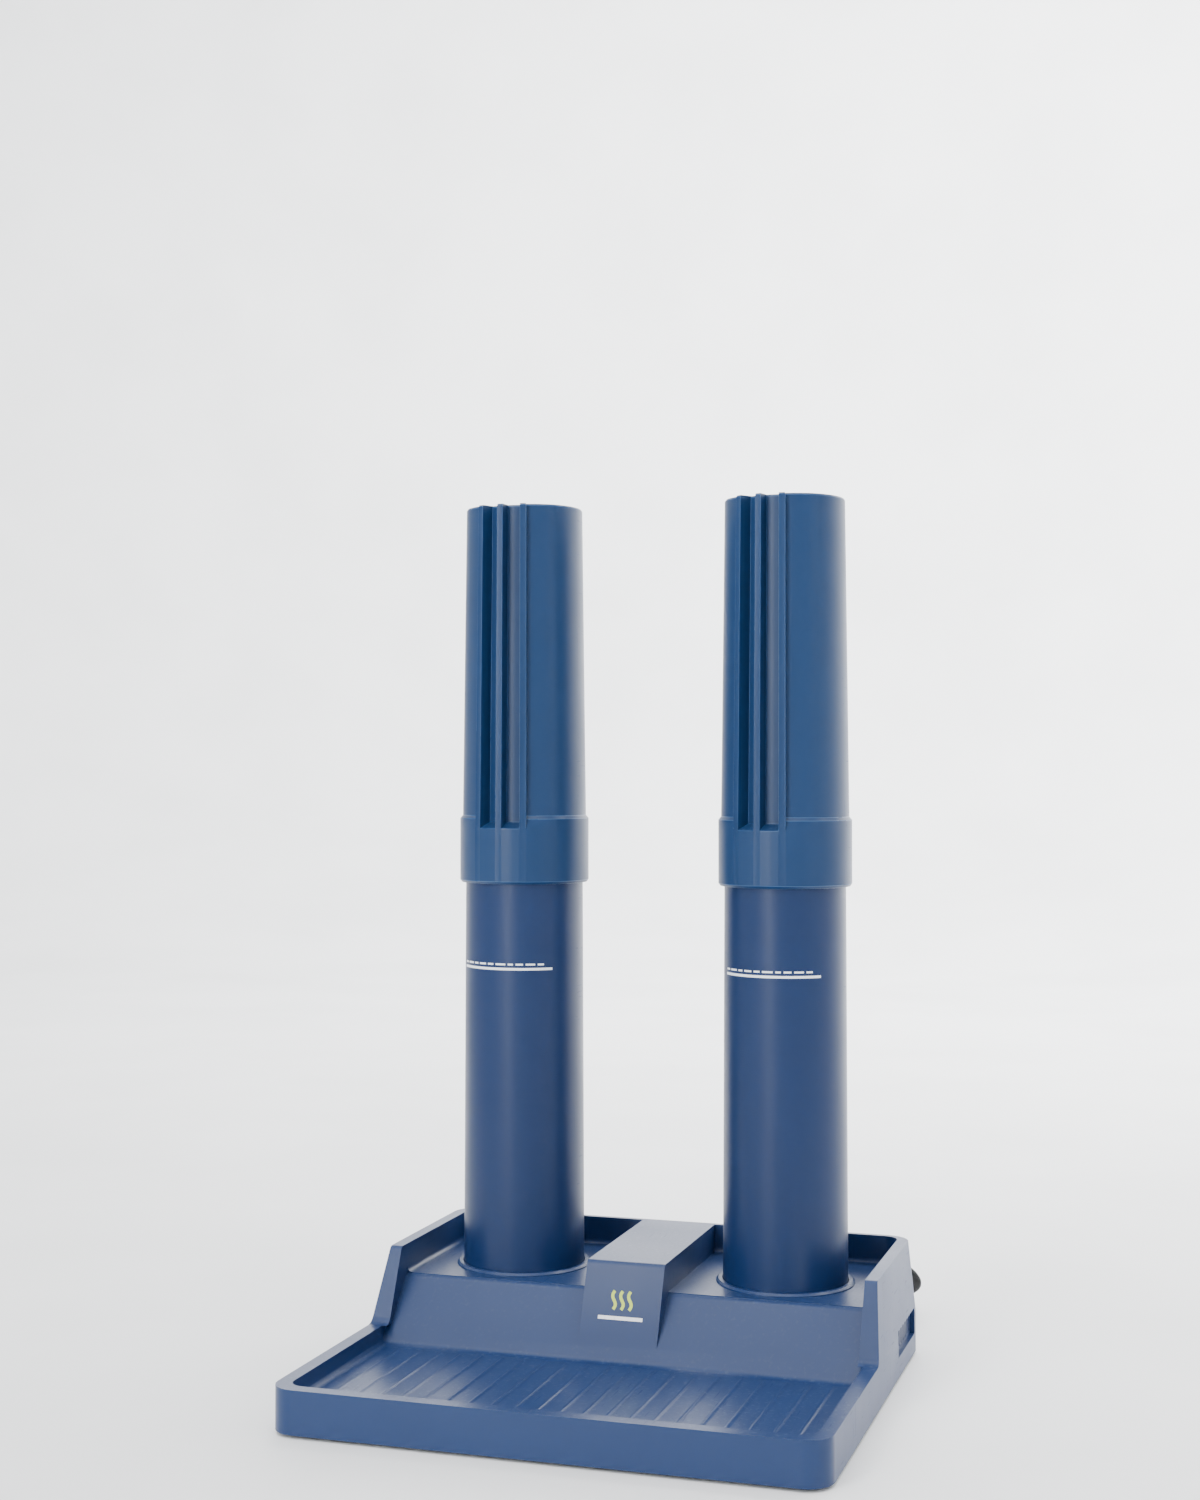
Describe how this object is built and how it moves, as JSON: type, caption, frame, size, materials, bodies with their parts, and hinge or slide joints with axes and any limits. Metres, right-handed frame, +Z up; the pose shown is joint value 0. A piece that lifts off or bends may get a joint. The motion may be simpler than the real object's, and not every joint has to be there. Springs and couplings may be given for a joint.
{
  "type": "boot dryer",
  "caption": "Convection boot dryer: a heated base with drip tray and raised deck, upright warm-air tubes in sockets and push-on fluted extension tubes, with its power cord coiled behind.",
  "frame": {"origin": "on the ground under the middle of the base, not counting the cord", "axes": "+Z up along the tubes, -Y towards the drip tray at the front, +X to the dryer's right seen from the front"},
  "size_m": [0.317, 0.4104, 0.538],
  "materials": {
    "base_plastic": "satin moulded plastic",
    "tube_plastic": "satin moulded plastic",
    "extension_plastic": "satin moulded plastic",
    "black_plastic": "fine textured",
    "foot_rubber": "matte",
    "screw_steel": "zinc plated",
    "heater_ceramic": "unglazed",
    "heater_wire": "heat darkened",
    "shield_aluminium": "rolled sheet",
    "cutout_aluminium": "satin",
    "terminal_plastic": "matte",
    "lead_sleeve": "woven sleeve",
    "cord_jacket": "soft black jacket",
    "tie_plastic": "matte",
    "plug_plastic": "moulded",
    "blade_brass": "bright"
  },
  "bodies": {
    "base": {"base_shell": "base_plastic", "bottom_plate": "black_plastic", "rubber_foot_1": "foot_rubber", "rubber_foot_2": "foot_rubber", "rubber_foot_3": "foot_rubber", "rubber_foot_4": "foot_rubber", "bottom_screw_1": "screw_steel", "bottom_screw_2": "screw_steel", "bottom_screw_3": "screw_steel", "bottom_screw_4": "screw_steel", "bottom_screw_5": "screw_steel", "bottom_screw_6": "screw_steel", "guard_grille_left": "black_plastic", "guard_grille_right": "black_plastic", "heater_core_left": "heater_ceramic", "heater_core_right": "heater_ceramic", "heater_coil_left": "heater_wire", "heater_coil_right": "heater_wire", "heat_shield_left": "shield_aluminium", "heat_shield_right": "shield_aluminium", "terminal_block": "terminal_plastic", "thermal_cutout": "cutout_aluminium", "cutout_lead": "lead_sleeve", "heater_lead_left": "lead_sleeve", "heater_lead_right": "lead_sleeve", "cord_inner_end": "cord_jacket", "cord_clamp": "terminal_plastic", "clamp_screw": "screw_steel", "strain_relief": "cord_jacket", "power_cord": "cord_jacket", "cord_coil": "cord_jacket", "cord_tie": "tie_plastic", "cord_tail": "cord_jacket", "plug_body": "plug_plastic", "plug_blade_narrow": "blade_brass", "plug_blade_wide": "blade_brass"},
    "lower_tube_left": {"lower_tube_left": "tube_plastic"},
    "lower_tube_right": {"lower_tube_right": "tube_plastic"},
    "extension_tube_left": {"extension_tube_left": "extension_plastic"},
    "extension_tube_right": {"extension_tube_right": "extension_plastic"}
  },
  "joints": [
    {"name": "lower_tube_lift_left", "type": "slide", "parent": "base", "child": "lower_tube_left", "axis": [0, 0, 1], "range_m": [0, 0.03]},
    {"name": "lower_tube_lift_right", "type": "slide", "parent": "base", "child": "lower_tube_right", "axis": [0, 0, 1], "range_m": [0, 0.03]},
    {"name": "extension_lift_left", "type": "slide", "parent": "lower_tube_left", "child": "extension_tube_left", "axis": [0, 0, 1], "range_m": [0, 0.04]},
    {"name": "extension_lift_right", "type": "slide", "parent": "lower_tube_right", "child": "extension_tube_right", "axis": [0, 0, 1], "range_m": [0, 0.04]}
  ]
}
